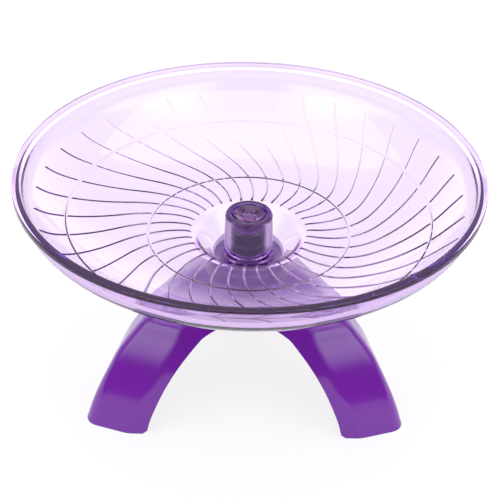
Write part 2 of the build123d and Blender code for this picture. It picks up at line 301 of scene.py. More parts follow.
def moulded_bump(nodes, links, shader, scale, strength, distance):
    """Faint unevenness of a moulded surface."""
    place = nodes.new("ShaderNodeTexCoord")
    noise = nodes.new("ShaderNodeTexNoise")
    noise.inputs["Scale"].default_value = scale
    noise.inputs["Detail"].default_value = 3.0
    bump = nodes.new("ShaderNodeBump")
    bump.inputs["Strength"].default_value = strength
    bump.inputs["Distance"].default_value = distance
    links.new(place.outputs["Object"], noise.inputs["Vector"])
    links.new(noise.outputs["Fac"], bump.inputs["Height"])
    links.new(bump.outputs["Normal"], shader.inputs["Normal"])
    return noise


def vary_roughness(nodes, links, shader, noise, low, high):
    """Lets a noise move the roughness between two values."""
    spread = nodes.new("ShaderNodeMapRange")
    spread.inputs["To Min"].default_value = low
    spread.inputs["To Max"].default_value = high
    links.new(noise.outputs["Fac"], spread.inputs["Value"])
    links.new(spread.outputs["Result"], shader.inputs["Roughness"])


def clear_plastic(name, tint, depth_colour, density, polish, glow):
    """Clear moulded plastic, tinted through its thickness, with a painted glow: an emission inside
    it stands in for light scattered in the plastic.
    """
    material, nodes, links, shader = new_material(name)
    shader.inputs["Base Color"].default_value = (*tint, 1)
    shader.inputs["Transmission Weight"].default_value = 1.0
    shader.inputs["IOR"].default_value = 1.5
    noise = moulded_bump(nodes, links, shader, 60.0, 0.03, 0.0002)
    vary_roughness(nodes, links, shader, noise, polish, polish * 2)
    absorb = nodes.new("ShaderNodeVolumeAbsorption")
    absorb.inputs["Color"].default_value = (*depth_colour, 1)
    absorb.inputs["Density"].default_value = density
    # painted glow: the plastic's inside gives off light of its own, standing in for scattered light
    painted_glow = nodes.new("ShaderNodeEmission")
    painted_glow.inputs["Color"].default_value = (*glow, 1)
    painted_glow.inputs["Strength"].default_value = 1.0
    inside = nodes.new("ShaderNodeAddShader")
    links.new(absorb.outputs["Volume"], inside.inputs[0])
    links.new(painted_glow.outputs["Emission"], inside.inputs[1])
    links.new(inside.outputs["Shader"], nodes["Material Output"].inputs["Volume"])
    return material


dish = new_piece("dish_moulding", build_dish)
for name, polish in (("dish_plastic", DISH_POLISH), ("bore_plastic", BORE_POLISH)):
    dish.data.materials.append(clear_plastic(name, (1.0, 1.0, 1.0), DISH_DEPTH_COLOUR,
                                             DISH_DENSITY, polish, DISH_PAINTED_GLOW))
# the bore is left duller than the rest
for polygon in dish.data.polygons:
    centre = polygon.center
    beside_bore = math.hypot(centre.x, centre.y) < (TUBE_BORE + 0.05) * MM
    if beside_bore and SEAT * MM < centre.z < (TUBE_TOP - 0.4) * MM:
        polygon.material_index = 1
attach(dish, "dish")
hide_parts("dish")

# Hub cap
# A purple translucent plug pressed into the top of the hub tube. Its outside and its flat
# rim have six sides, its recess is a six-pointed star, and it rests on the upper bearing.
CAP_CORNER, CAP_BOTTOM, CAP_TOP, CAP_EDGE, CAP_TURN = 6.98, 72.4, 77.8, 0.3, -5.0
CAP_CORNER_FLAT, CAP_FOOT_CHAMFER, CAP_AROUND = 0.25, 0.1, 120
CAP_SKIRT_BORE, CAP_CEILING = 4.3, 74.6
STAR_TIP, STAR_WAIST, STAR_EDGE, STAR_FLOOR, STAR_DRAFT = 5.2, 3.4, 77.0, 76.2, 0.8
STAR_CENTRE_RISE = 0.5
CAP_TINT, CAP_DEPTH_COLOUR, CAP_DENSITY = (0.85, 0.72, 0.88), (0.5, 0.15, 0.6), 420.0
# the second colour is the cap's painted glow, strong enough that the plug shines from inside
CAP_POLISH, CAP_PAINTED_GLOW = 0.05, (16.0, 6.0, 20.0)
SIXTH = math.pi / 3


def hexagon(inset):
    """Reach of the plug's six-sided outside at an angle, with its corners cut flat."""
    corner = CAP_CORNER - inset

    def reach(angle):
        part = (angle % SIXTH) - SIXTH / 2
        return min(corner * math.cos(SIXTH / 2) / math.cos(part), corner - CAP_CORNER_FLAT)
    return reach


def star(draft):
    """Reach of the six-pointed star at an angle."""
    tip, waist = STAR_TIP * draft, STAR_WAIST * draft
    x, y = tip * math.cos(SIXTH / 2), tip * math.sin(SIXTH / 2)

    def reach(angle):
        part = abs((angle % SIXTH) - SIXTH / 2)
        return waist * y / (y * math.cos(part) - (x - waist) * math.sin(part))
    return reach


def build_cap(bm):
    """Closed six-sided plug with a star recess on top and a round hollow below."""
    turn = math.radians(CAP_TURN)
    angles = [2 * math.pi * i / CAP_AROUND for i in range(CAP_AROUND)]
    levels = [
        (lambda angle: CAP_SKIRT_BORE, CAP_CEILING),
        (lambda angle: CAP_SKIRT_BORE, CAP_BOTTOM),
        (hexagon(CAP_FOOT_CHAMFER), CAP_BOTTOM),
        (hexagon(0), CAP_BOTTOM + CAP_FOOT_CHAMFER),
        (hexagon(0), CAP_TOP - CAP_EDGE),
        (hexagon(CAP_EDGE * 0.3), CAP_TOP - CAP_EDGE * 0.3),
        (hexagon(CAP_EDGE), CAP_TOP),
        (star(1), STAR_EDGE),
        (star(STAR_DRAFT), STAR_FLOOR),
    ]
    rings = [[corner_at(bm, reach(angle), angle + turn, height) for angle in angles]
             for reach, height in levels]
    bridge(bm, rings)
    for ring, height in ((rings[0], CAP_CEILING), (rings[-1], STAR_FLOOR + STAR_CENTRE_RISE)):
        centre = bm.verts.new((0, 0, height * MM))
        for i in range(CAP_AROUND):
            bm.faces.new((ring[i], ring[(i + 1) % CAP_AROUND], centre))


def crisp(piece, angle=35):
    """Keeps edges sharper than this angle, in degrees, crisp."""
    piece.data.set_sharp_from_angle(angle=math.radians(angle))


cap = new_piece("hub_cap_plug", build_cap)
crisp(cap, 20)
cap.data.materials.append(clear_plastic("hub_cap_plastic", CAP_TINT, CAP_DEPTH_COLOUR,
                                        CAP_DENSITY, CAP_POLISH, CAP_PAINTED_GLOW))
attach(cap, "dish")
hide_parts("hub_cap")

# Ball bearings
# Two stock bearings of ground steel sit one over the other in the hub tube. Each has an
# outer and an inner race, seven balls in a stamped cage and a pressed shield on each side.
BEARING_RADIUS, BEARING_BORE, BEARING_WIDTH = 7.0, 2.5, 5.0
BEARING_SEATS = {"lower": 61.4, "upper": 67.4}
BALL_CIRCLE, BALL, BALL_COUNT, BALL_PLAY, LAND_GAP = 4.75, 1.1, 7, 0.03, 0.8
OUTER_LAND, INNER_LAND = BALL_CIRCLE + LAND_GAP, BALL_CIRCLE - LAND_GAP
GROOVE = BALL + BALL_PLAY
OUTSIDE_CHAMFER, BORE_CHAMFER, LAND_CHAMFER = 0.3, 0.15, 0.1
SHIELD_SEAT, SHIELD_THICKNESS, SHIELD_INSET = 0.3, 0.25, 0.1
SHIELD_GAP, SHIELD_SUNK, SHIELD_LIP, SHIELD_HEM = 0.1, 0.4, (0.35, 0.5), (0.45, 0.3)
CAGE_THICKNESS, CAGE_WIDTH, CAGE_WINDOW, CAGE_STEPS = 0.8, 3.0, 1.15, 24
# the races and spacers are painted a dark purple-grey, far darker than ground steel: painted shade
# for the dark reflections of the steel inside the tube, tinted like the tube
RACE_PAINTED_DARK, BALL_COLOUR = (0.21, 0.145, 0.23), (0.8, 0.8, 0.82)
SHIELD_COLOUR, CAGE_COLOUR = (0.68, 0.67, 0.7), (0.72, 0.52, 0.26)


def circle(bm, radius, height, around):
    """A ring of corners round the axis."""
    return [corner_at(bm, radius, 2 * math.pi * i / around, height) for i in range(around)]


def turned(name, outline, around=128):
    """A turned piece from its closed outline of radius and height."""
    def build(bm):
        bridge(bm, [circle(bm, radius, height, around) for radius, height in outline], closed=True)
    piece = new_piece(name, build)
    crisp(piece)
    return piece


def vary_colour(nodes, links, shader, noise, first, second):
    """Lets a noise move the colour between two shades."""
    shade = nodes.new("ShaderNodeMix")
    shade.data_type = "RGBA"
    shade.inputs["A"].default_value = (*first, 1)
    shade.inputs["B"].default_value = (*second, 1)
    links.new(noise.outputs["Fac"], shade.inputs["Factor"])
    links.new(shade.outputs["Result"], shader.inputs["Base Color"])


def metal(name, colour, roughness, scratch):
    """Ground, turned or pressed metal, with fine marks that run round the axis."""
    material, nodes, links, shader = new_material(name)
    shader.inputs["Metallic"].default_value = 1.0
    place = nodes.new("ShaderNodeTexCoord")
    stretch = nodes.new("ShaderNodeMapping")
    stretch.inputs["Scale"].default_value = (0.02, 0.02, 1.0)
    noise = nodes.new("ShaderNodeTexNoise")
    noise.inputs["Scale"].default_value = 9000.0
    noise.inputs["Detail"].default_value = 2.0
    links.new(place.outputs["Object"], stretch.inputs["Vector"])
    links.new(stretch.outputs["Vector"], noise.inputs["Vector"])
    vary_colour(nodes, links, shader, noise, [part * 0.85 for part in colour], colour)
    vary_roughness(nodes, links, shader, noise, roughness, roughness + scratch)
    return material


# this steel carries the painted dark colour of the races and spacers
race_steel_painted_dark = metal("race_steel_painted_dark", RACE_PAINTED_DARK, 0.34, 0.08)
ball_steel = metal("ball_steel", BALL_COLOUR, 0.05, 0.05)
shield_steel = metal("shield_steel", SHIELD_COLOUR, 0.3, 0.15)
cage_brass = metal("cage_brass", CAGE_COLOUR, 0.3, 0.1)


def finish(piece, material, body, node):
    """Gives a piece its material and body, and hides the CAD node it replaces."""
    piece.data.materials.append(material)
    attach(piece, body)
    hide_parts(node)


def outer_race(seat, middle, top):
    """Outline of an outer race, with a step for a shield on each side."""
    step = OUTER_LAND + SHIELD_SEAT
    ledge = SHIELD_INSET + SHIELD_THICKNESS
    groove = math.degrees(math.acos(LAND_GAP / GROOVE))
    points = [(step, seat), (step + LAND_CHAMFER, seat), (BEARING_RADIUS - OUTSIDE_CHAMFER, seat)]
    points += [(BEARING_RADIUS, seat + OUTSIDE_CHAMFER), (BEARING_RADIUS, middle)]
    points += [(BEARING_RADIUS, top - OUTSIDE_CHAMFER), (BEARING_RADIUS - OUTSIDE_CHAMFER, top)]
    points += [(step + LAND_CHAMFER, top), (step, top), (step, top - ledge)]
    points += [(OUTER_LAND, top - ledge)] + arc((BALL_CIRCLE, middle), GROOVE, groove, -groove, 12)
    return points + [(OUTER_LAND, seat + ledge), (step, seat + ledge)]


def inner_race(seat, middle, top):
    """Outline of an inner race."""
    groove = math.degrees(math.acos(LAND_GAP / GROOVE))
    points = [(BEARING_BORE + BORE_CHAMFER, seat), (INNER_LAND - LAND_CHAMFER, seat)]
    points += [(INNER_LAND, seat + LAND_CHAMFER)]
    points += arc((BALL_CIRCLE, middle), GROOVE, 180 + groove, 180 - groove, 12)
    points += [(INNER_LAND, top - LAND_CHAMFER), (INNER_LAND - LAND_CHAMFER, top)]
    points += [(BEARING_BORE + BORE_CHAMFER, top), (BEARING_BORE, top - BORE_CHAMFER)]
    return points + [(BEARING_BORE, seat + BORE_CHAMFER)]


def shield(face, back):
    """Outline of a pressed shield, from the height of its face to that of its back."""
    lip, step = INNER_LAND + SHIELD_GAP, OUTER_LAND + SHIELD_SEAT
    sunk = face + (back - face) * SHIELD_SUNK
    points = [(lip, back), (lip, face), (lip + SHIELD_LIP[0], face), (lip + SHIELD_LIP[1], sunk)]
    points += [(step - SHIELD_HEM[0], sunk), (step - SHIELD_HEM[1], face)]
    return points + [(step, face), (step, back)]


def ball_ring(middle):
    """Mesh builder for the ring of balls."""
    def build(bm):
        for i in range(BALL_COUNT):
            a = 2 * math.pi * i / BALL_COUNT
            made = bmesh.ops.create_icosphere(bm, subdivisions=3, radius=BALL * MM)
            centre = (BALL_CIRCLE * math.cos(a) * MM, BALL_CIRCLE * math.sin(a) * MM, middle * MM)
            bmesh.ops.translate(bm, verts=made["verts"], vec=centre)
    return build


def stamped_cage(middle):
    """Mesh builder for the cage: a band with a round window at each ball."""
    pitch = 2 * math.pi / BALL_COUNT
    total = CAGE_STEPS * BALL_COUNT

    def build(bm):
        sides = {}
        for radius in (BALL_CIRCLE - CAGE_THICKNESS / 2, BALL_CIRCLE + CAGE_THICKNESS / 2):
            for top in (-1, 1):
                for key in range(total):
                    ball, i = divmod(key, CAGE_STEPS)
                    turn = (i / CAGE_STEPS - 0.5) * pitch
                    across = turn * BALL_CIRCLE
                    bulge = math.sqrt(max(0.0, CAGE_WINDOW ** 2 - across ** 2))
                    a = 2 * math.pi * ball / BALL_COUNT + turn
                    edge = corner_at(bm, radius, a, middle + top * CAGE_WIDTH / 2)
                    window = corner_at(bm, radius, a, middle + top * bulge)
                    sides[radius < BALL_CIRCLE, top, key] = (edge, window)
        for top in (-1, 1):
            for key in range(total):
                after = (key + 1) % total
                for inside in (True, False):
                    edge, window = sides[inside, top, key]
                    edge_after, window_after = sides[inside, top, after]
                    bm.faces.new((edge, edge_after, window_after, window))
                for part in (0, 1):
                    bm.faces.new((sides[True, top, key][part], sides[True, top, after][part],
                                  sides[False, top, after][part], sides[False, top, key][part]))
        bmesh.ops.remove_doubles(bm, verts=bm.verts, dist=0.00001 * MM)
    return build


for place, seat in BEARING_SEATS.items():
    top, middle = seat + BEARING_WIDTH, seat + BEARING_WIDTH / 2
    prefix = f"{place}_bearing"
    outer = turned(f"{prefix}_outer_ring", outer_race(seat, middle, top))
    finish(outer, race_steel_painted_dark, "dish", f"{prefix}_outer_race")
    inner = turned(f"{prefix}_inner_ring", inner_race(seat, middle, top))
    finish(inner, race_steel_painted_dark, "stand", f"{prefix}_inner_race")
    balls = new_piece(f"{prefix}_ball_ring", ball_ring(middle))
    finish(balls, ball_steel, f"{place}_balls", f"{prefix}_balls")
    cage = new_piece(f"{prefix}_stamped_cage", stamped_cage(middle))
    crisp(cage)
    finish(cage, cage_brass, f"{place}_balls", f"{prefix}_cage")
    low, high = seat + SHIELD_INSET, top - SHIELD_INSET - SHIELD_THICKNESS
    for side, face, back in (("bottom", low, low + SHIELD_THICKNESS),
                             ("top", high + SHIELD_THICKNESS, high)):
        plate = turned(f"{prefix}_{side}_plate", shield(face, back))
        finish(plate, shield_steel, "dish", f"{prefix}_{side}_shield")

# Spacers
# Two turned rings keep the bearings apart: the outer one rides with the dish and the inner
# one stays on the spindle.
SPACER_BOTTOM, SPACER_TOP, SPACER_WALL, SPACER_CHAMFER = 66.4, 67.4, 1.0, 0.1
for name, bore, radius, body in (
    ("bearing_spacer_ring", BEARING_RADIUS - SPACER_WALL, BEARING_RADIUS, "dish"),
    ("bearing_spacer_sleeve", BEARING_BORE, BEARING_BORE + SPACER_WALL, "stand"),
):
    shape = [(bore, SPACER_BOTTOM), (radius - SPACER_CHAMFER, SPACER_BOTTOM)]
    shape += [(radius, SPACER_BOTTOM + SPACER_CHAMFER), (radius, SPACER_TOP - SPACER_CHAMFER)]
    shape += [(radius - SPACER_CHAMFER, SPACER_TOP), (bore, SPACER_TOP)]
    finish(turned(name + "_turned", shape), race_steel_painted_dark, body, name)

# Spindle, washer and nut
# A turned steel pin with a thin head holds the stack on the stand. A plated washer and
# nut clamp it under the stand's boss.
HEAD_RADIUS, HEAD_TOP, STACK_TOP, SPINDLE_RADIUS = 3.7, 73.3, 72.4, 2.48
HEAD_ROUNDING = ((HEAD_RADIUS * 0.6, 0.02), (HEAD_RADIUS - 0.3, 0.05),
                 (HEAD_RADIUS - 0.08, 0.15), (HEAD_RADIUS, 0.35))
THREAD_PITCH, THREAD_DEPTH, TIP_CHAMFER = 0.8, 0.35, 0.5
NUT_TOP, NUT_BOTTOM, SPINDLE_BOTTOM, NUT_FLATS = 42.5, 38.5, 37.0, 8.0
NUT_EDGE, NUT_BORE_CHAMFER, NUT_PLAY = 0.5, 0.3, 0.02
WASHER_RADIUS, WASHER_EDGE, WASHER_PLAY = 5.0, 0.15, 0.05
BOSS_BOTTOM = 43.5
AROUND = 96
SPINDLE_COLOUR, PLATED_COLOUR = (0.58, 0.57, 0.6), (0.76, 0.76, 0.78)


def build_spindle(bm):
    """Pin with a rounded head, a threaded end and a chamfered tip."""
    outline = [(0.0, HEAD_TOP)] + [(radius, HEAD_TOP - drop) for radius, drop in HEAD_ROUNDING]
    outline += [(HEAD_RADIUS, STACK_TOP)]
    outline += [(SPINDLE_RADIUS, STACK_TOP), (SPINDLE_RADIUS, BOSS_BOTTOM)]
    height = BOSS_BOTTOM
    while height - THREAD_PITCH > SPINDLE_BOTTOM + TIP_CHAMFER:
        outline += [(SPINDLE_RADIUS - THREAD_DEPTH, height - THREAD_PITCH / 2)]
        outline += [(SPINDLE_RADIUS, height - THREAD_PITCH)]
        height -= THREAD_PITCH
    outline += [(SPINDLE_RADIUS - TIP_CHAMFER, SPINDLE_BOTTOM), (0.0, SPINDLE_BOTTOM)]
    rings = []
    for radius, z in outline:
        if radius == 0.0:
            rings.append([bm.verts.new((0, 0, z * MM))] * AROUND)
        else:
            rings.append(circle(bm, radius, z, AROUND))
    for a, b in zip(rings, rings[1:]):
        for i in range(AROUND):
            j = (i + 1) % AROUND
            # a face at either end of the pin has three corners
            bm.faces.new(list(dict.fromkeys((a[i], a[j], b[j], b[i]))))


def build_nut(bm):
    """Hexagon nut with turned corners top and bottom."""
    flat = NUT_FLATS / 2
    corner = flat / math.cos(SIXTH / 2)

    def flats(limit, z):
        ring = []
        for i in range(AROUND):
            a = 2 * math.pi * i / AROUND
            part = ((a + SIXTH / 2) % SIXTH) - SIXTH / 2
            ring.append(corner_at(bm, min(flat / math.cos(part), limit), a, z))
        return ring

    inside, mouth = SPINDLE_RADIUS + NUT_PLAY, SPINDLE_RADIUS + NUT_BORE_CHAMFER
    bridge(bm, [
        flats(flat * 0.97, NUT_BOTTOM),
        flats(corner * 0.95, NUT_BOTTOM + NUT_EDGE / 2),
        flats(corner, NUT_BOTTOM + NUT_EDGE),
        flats(corner, NUT_TOP - NUT_EDGE),
        flats(corner * 0.95, NUT_TOP - NUT_EDGE / 2),
        flats(flat * 0.97, NUT_TOP),
        circle(bm, mouth, NUT_TOP, AROUND),
        circle(bm, inside, NUT_TOP - NUT_BORE_CHAMFER, AROUND),
        circle(bm, inside, NUT_BOTTOM + NUT_BORE_CHAMFER, AROUND),
        circle(bm, mouth, NUT_BOTTOM, AROUND),
    ], closed=True)


spindle_steel = metal("spindle_steel", SPINDLE_COLOUR, 0.2, 0.12)
plated_steel = metal("plated_steel", PLATED_COLOUR, 0.16, 0.12)
spindle = new_piece("spindle_pin", build_spindle)
crisp(spindle)
finish(spindle, spindle_steel, "stand", "spindle")
nut = new_piece("spindle_hexagon_nut", build_nut)
crisp(nut, 25)
finish(nut, plated_steel, "stand", "spindle_nut")
washer_bore = SPINDLE_RADIUS + WASHER_PLAY
washer_shape = [(washer_bore, NUT_TOP), (WASHER_RADIUS - WASHER_EDGE, NUT_TOP)]
washer_shape += [(WASHER_RADIUS, NUT_TOP + WASHER_EDGE), (WASHER_RADIUS, BOSS_BOTTOM - WASHER_EDGE)]
washer_shape += [(WASHER_RADIUS - WASHER_EDGE, BOSS_BOTTOM), (washer_bore, BOSS_BOTTOM)]
washer = turned("spindle_flat_washer", washer_shape)
finish(washer, plated_steel, "stand", "spindle_washer")

# Stand
# One glossy purple moulding: a hollow three-cornered dome whose corners come down as legs,
# with an arch between each two legs and a round collar on top that carries the spindle.
SHELL, DOME_HEIGHT, FOOT_REACH, SIDE_REACH = 3.0, 51.0, 72.4, 43.2
DOME_HEIGHTS = (0.0, 0.19, 0.43, 0.615, 0.735, 0.845, 0.935, 1.0)
RIDGE_SHARES = (1.0, 0.95, 0.862, 0.776, 0.693, 0.598, 0.44, 0.25)
FLAT_SHARES = (1.0, 0.961, 0.889, 0.806, 0.727, 0.632, 0.5, 0.4)
FACET_TURNS = (18.3, 18.3, 18.3, 18.3, 18.3, 19.0, 22.0, 30.0)
RIDGE_ROUNDS = (0.14, 0.12, 0.105, 0.115, 0.13, 0.165, 0.28, 0.7)
BEND_ROUND, FOOT_ROUND, CROWN_DROP = 12.0, 1.8, 0.4
ARCH_HALF, ARCH_TOP = 38.6, 44.5
ARCH_WIDTHS = (1.0, 0.932, 0.8, 0.635, 0.438, 0.332, 0.0)
ARCH_RISES = (0.0, 0.225, 0.501, 0.721, 0.876, 0.928, 1.0)
ARCH_COLUMNS, LEG_COLUMNS, ROWS = 96, 56, 56
ROW_SPREAD, TURN_SPREAD = 0.9, 0.8
COLLAR_FLARE = ((17.25, 51.3), (16.7, 52.6), (16.1, 54.0))
COLLAR_FOOT, COLLAR_START, COLLAR_RADIUS, COLLAR_TOP = 17.4, 49.6, 15.3, 56.3
COLLAR_ROUND, COLLAR_LOOP, POST, POST_FOOT, POST_EDGE = 1.2, 10.0, 3.7, 0.5, 0.2
CEILING_RADIUS, CEILING_START = 12.3, 49.0
BOSS, BOSS_ROUND, BOSS_EDGE = 6.5, 0.6, 0.2
WEB, WEB_START, WEB_BOTTOM, WEB_BITE = 2.0, 5.75, 38.0, 0.8
EDGE_SOFTNESS = 0.5
STAND_COLOURS = ((0.145, 0.007, 0.31), (0.165, 0.010, 0.34))


def smooth_curve(xs, ys, start_slope=None, end_slope=None):
    """Smooth curve through points, as a function of x (cubic pieces with averaged slopes)."""
    steps = [(y1 - y0) / (x1 - x0) for x0, x1, y0, y1 in zip(xs, xs[1:], ys, ys[1:])]
    slopes = [steps[0] if start_slope is None else start_slope]
    for i in range(1, len(xs) - 1):
        before, after = xs[i] - xs[i - 1], xs[i + 1] - xs[i]
        slopes.append((steps[i - 1] * after + steps[i] * before) / (before + after))
    slopes.append(steps[-1] if end_slope is None else end_slope)

    def at(x):
        x = max(xs[0], min(xs[-1], x))
        i = max(1, min(len(xs) - 1, bisect.bisect_left(xs, x)))
        h = xs[i] - xs[i - 1]
        t = (x - xs[i - 1]) / h
        a = (1 + 2 * t) * (1 - t) ** 2 * ys[i - 1] + t * (1 - t) ** 2 * h * slopes[i - 1]
        b = t * t * (3 - 2 * t) * ys[i] + t * t * (t - 1) * h * slopes[i]
        return a + b
    return at


def dome(wall):
    """Flat reach, facet reach, facet turn and ridge rounding of a skin, over the height."""
    heights = [(DOME_HEIGHT - wall) * share for share in DOME_HEIGHTS]
    rows = []
    for ridge_share, flat_share, turn, round_share in zip(RIDGE_SHARES, FLAT_SHARES,
                                                          FACET_TURNS, RIDGE_ROUNDS):
        flat = SIDE_REACH * flat_share - wall
        rounding = flat * round_share
        along = math.cos(math.radians(60 - turn))
        facet = (FOOT_REACH * ridge_share - wall + rounding * (1 / along - 1)) * along
        rows.append((flat, facet, math.radians(turn), rounding))
    curves = [smooth_curve(heights, list(column)) for column in zip(*rows)]
    return lambda height: [curve(height) for curve in curves]


def skin_radius(section, turn):
    """Radius of the nine-sided section at a turn from the middle of a side."""
    flat, facet, lean, rounding = section
    turn = abs(turn)
    # the arc where the facet meets the flat
    across, up = flat - BEND_ROUND, facet - BEND_ROUND
    sideways = (up - across * math.cos(lean)) / math.sin(lean)
    if math.tan(turn) * flat <= sideways:
        return flat / math.cos(turn)
    end = (across + BEND_ROUND * math.cos(lean), sideways + BEND_ROUND * math.sin(lean))
    if turn <= math.atan2(end[1], end[0]):
        inward = across * math.cos(turn) + sideways * math.sin(turn)
        return inward + math.sqrt(BEND_ROUND ** 2 - across ** 2 - sideways ** 2 + inward ** 2)
    # the rounded ridge
    out = (facet - rounding) / math.cos(SIXTH - lean)
    start = (out * math.cos(SIXTH) + rounding * math.cos(lean),
             out * math.sin(SIXTH) + rounding * math.sin(lean))
    if turn >= math.atan2(start[1], start[0]):
        inward = out * math.cos(SIXTH - turn)
        return inward + math.sqrt(rounding ** 2 - out ** 2 + inward ** 2)
    return facet / math.cos(turn - lean)


def lower_edge(section_at):
    """For each column: its side's middle, its even turn at the crown, and its turn and height
    at the lower edge, which is an arch's outline or a leg's foot."""
    places = [(ARCH_HALF * width, ARCH_TOP * rise) for width, rise in zip(ARCH_WIDTHS, ARCH_RISES)]
    along = [0.0]
    for before, after in zip(places, places[1:]):
        along.append(along[-1] + math.dist(before, after))
    arch_x = smooth_curve(along, [x for x, _ in places], start_slope=0.0, end_slope=-1.0)
    arch_z = smooth_curve(along, [z for _, z in places], start_slope=1.0, end_slope=0.0)
    ends = []
    for i in range(ARCH_COLUMNS + 1):
        t = 2 * i / ARCH_COLUMNS - 1
        run = along[-1] * (1 - abs(t))
        z = arch_z(run)
        flare = FOOT_ROUND - math.sqrt(FOOT_ROUND ** 2 - max(0.0, FOOT_ROUND - z) ** 2)
        x = math.copysign(arch_x(run) + flare, t) if 2 * i != ARCH_COLUMNS else 0.0
        ends.append((math.atan2(x, section_at(z)[0]), z))
    last = ends[-1][0]
    for i in range(1, LEG_COLUMNS):
        ends.append((last + (2 * SIXTH - 2 * last) * i / LEG_COLUMNS, 0.0))
    count = ARCH_COLUMNS + LEG_COLUMNS
    columns = []
    for side in range(3):
        middle = math.radians(-90 + 120 * side)
        for k, (turn, z) in enumerate(ends):
            columns.append((middle, -SIXTH + 2 * SIXTH * (k + LEG_COLUMNS / 2) / count, turn, z))
    return columns


def build_skin(bm, wall):
    """One skin of the dome, as columns of corners from the crown down to the lower edge."""
    section_at = dome(wall)
    top = DOME_HEIGHT - wall - CROWN_DROP
    grid = []
    for middle, even, turn, low in lower_edge(section_at):
        column = []
        for j in range(ROWS + 1):
            z = top + (low - top) * (j / ROWS) ** ROW_SPREAD
            turned_by = even + (turn - even) * (j / ROWS) ** TURN_SPREAD
            local = (turned_by + SIXTH) % (2 * SIXTH) - SIXTH
            column.append(corner_at(bm, skin_radius(section_at(z), local), middle + turned_by, z))
        grid.append(column)
    for column, after in zip(grid, grid[1:] + grid[:1]):
        for j in range(ROWS):
            bm.faces.new((column[j], after[j], after[j + 1], column[j + 1]))
    return grid


def close_crown(bm, grid, outline):
    """Closes a skin's crown by rings of the outline's radii and heights, and a last face."""
    ring = [column[0] for column in grid]
    angles = [math.atan2(corner.co.y, corner.co.x) for corner in ring]
    for radius, height in outline:
        after = [corner_at(bm, radius, angle, height) for angle in angles]
        bridge(bm, [ring, after])
        ring = after
    bm.faces.new(ring)


def build_webs(bm):
    """Three upright webs that brace the boss against the inner skin along the legs."""
    section_at = dome(SHELL)
    high = DOME_HEIGHT - SHELL - 0.5
    ceiling = COLLAR_TOP - SHELL + WEB_BITE
    outline = [(WEB_START, WEB_BOTTOM)]
    for i in range(9):
        height = WEB_BOTTOM + (high - WEB_BOTTOM) * i / 8
        outline.append((skin_radius(section_at(height), SIXTH) + WEB_BITE, height))
    outline += [(CEILING_RADIUS + WEB_BITE, ceiling), (WEB_START, ceiling)]
    for leg in range(3):
        turn = math.radians(90 + 120 * leg)
        sides = [[bm.verts.new(((r * math.cos(turn) - half * math.sin(turn)) * MM,
                                (r * math.sin(turn) + half * math.cos(turn)) * MM, z * MM))
                  for r, z in outline] for half in (-WEB / 2, WEB / 2)]
        for side in sides:
            bm.faces.new(side)
        bridge(bm, sides)


def build_stand(bm):
    """Two skins joined at the lower edge, with the collar over them and the boss under them."""
    outer, inner = build_skin(bm, 0.0), build_skin(bm, SHELL)
    for k in range(len(outer)):
        n = (k + 1) % len(outer)
        bm.faces.new((outer[k][-1], outer[n][-1], inner[n][-1], inner[k][-1]))
    collar = [*COLLAR_FLARE]
    collar += rounded((COLLAR_FOOT, COLLAR_START), (COLLAR_RADIUS, COLLAR_TOP), (0, COLLAR_TOP),
                      COLLAR_ROUND, 8)
    collar += [(COLLAR_LOOP, COLLAR_TOP), (POST + POST_FOOT, COLLAR_TOP)]
    collar += [(POST + POST_FOOT * 0.3, COLLAR_TOP + POST_FOOT * 0.3)]
    collar += [(POST, COLLAR_TOP + POST_FOOT)]
    collar += [(POST, SEAT - POST_EDGE), (POST - POST_EDGE, SEAT), (SPINDLE_RADIUS + 0.05, SEAT)]
    close_crown(bm, outer, collar)
    ceiling = COLLAR_TOP - SHELL
    close_crown(bm, inner, [
        (CEILING_RADIUS, CEILING_START), (CEILING_RADIUS, ceiling), (BOSS + BOSS_ROUND, ceiling),
        (BOSS, ceiling - BOSS_ROUND), (BOSS, BOSS_BOTTOM + BOSS_EDGE),
        (BOSS - BOSS_EDGE, BOSS_BOTTOM), (SPINDLE_RADIUS + 0.1, BOSS_BOTTOM)])
    build_webs(bm)


def purple_plastic():
    """Glossy opaque purple moulding, slightly deeper and duller in patches."""
    material, nodes, links, shader = new_material("stand_plastic")
    shader.inputs["Coat Weight"].default_value = 0.3
    shader.inputs["Coat Roughness"].default_value = 0.06
    shader.inputs["IOR"].default_value = 1.52
    noise = moulded_bump(nodes, links, shader, 35.0, 0.05, 0.0003)
    vary_colour(nodes, links, shader, noise, *STAND_COLOURS)
    vary_roughness(nodes, links, shader, noise, 0.1, 0.15)
    return material


stand = new_piece("stand_moulding", build_stand)
soften = stand.modifiers.new("edges", "BEVEL")
soften.width = EDGE_SOFTNESS * MM
soften.segments = 3
soften.limit_method = "ANGLE"
soften.angle_limit = math.radians(50)
crisp(stand, 40)
finish(stand, purple_plastic(), "stand", "stand")

# Floor, lights and camera
# A plain pale floor, a soft studio round it with a bright tent each side of the camera,
# a large overhead softbox, and a camera at the photograph's angle.
from mathutils import Matrix, Vector

FLOOR_FRONT, FLOOR_REACH, FLOOR_GREY, FLOOR_GLOW = -0.13, 3, 0.86, 0.8
DUSK = (0.12, 0.06, 0.13)
PHOTO_PIXELS, FOCAL_PIXELS, SENSOR = 500, 1255.02, 36.0
CAMERA_PLACE = (0, -0.4101, 0.34673)
CAMERA_RIGHT = Vector((0.9997446, 0.0118031, 0.0192723))
CAMERA_UP = Vector((-0.0225583, 0.5726604, 0.8194823))
CAMERA_AHEAD = Vector((0.0013641, 0.8197078, -0.5727804))


def combine(tree, operation, *values):
    """Math node over linked or constant values."""
    node = tree.nodes.new("ShaderNodeMath")
    node.operation = operation
    for socket, value in zip(node.inputs, values):
        if isinstance(value, float):
            socket.default_value = value
        else:
            tree.links.new(value, socket)
    return node.outputs[0]


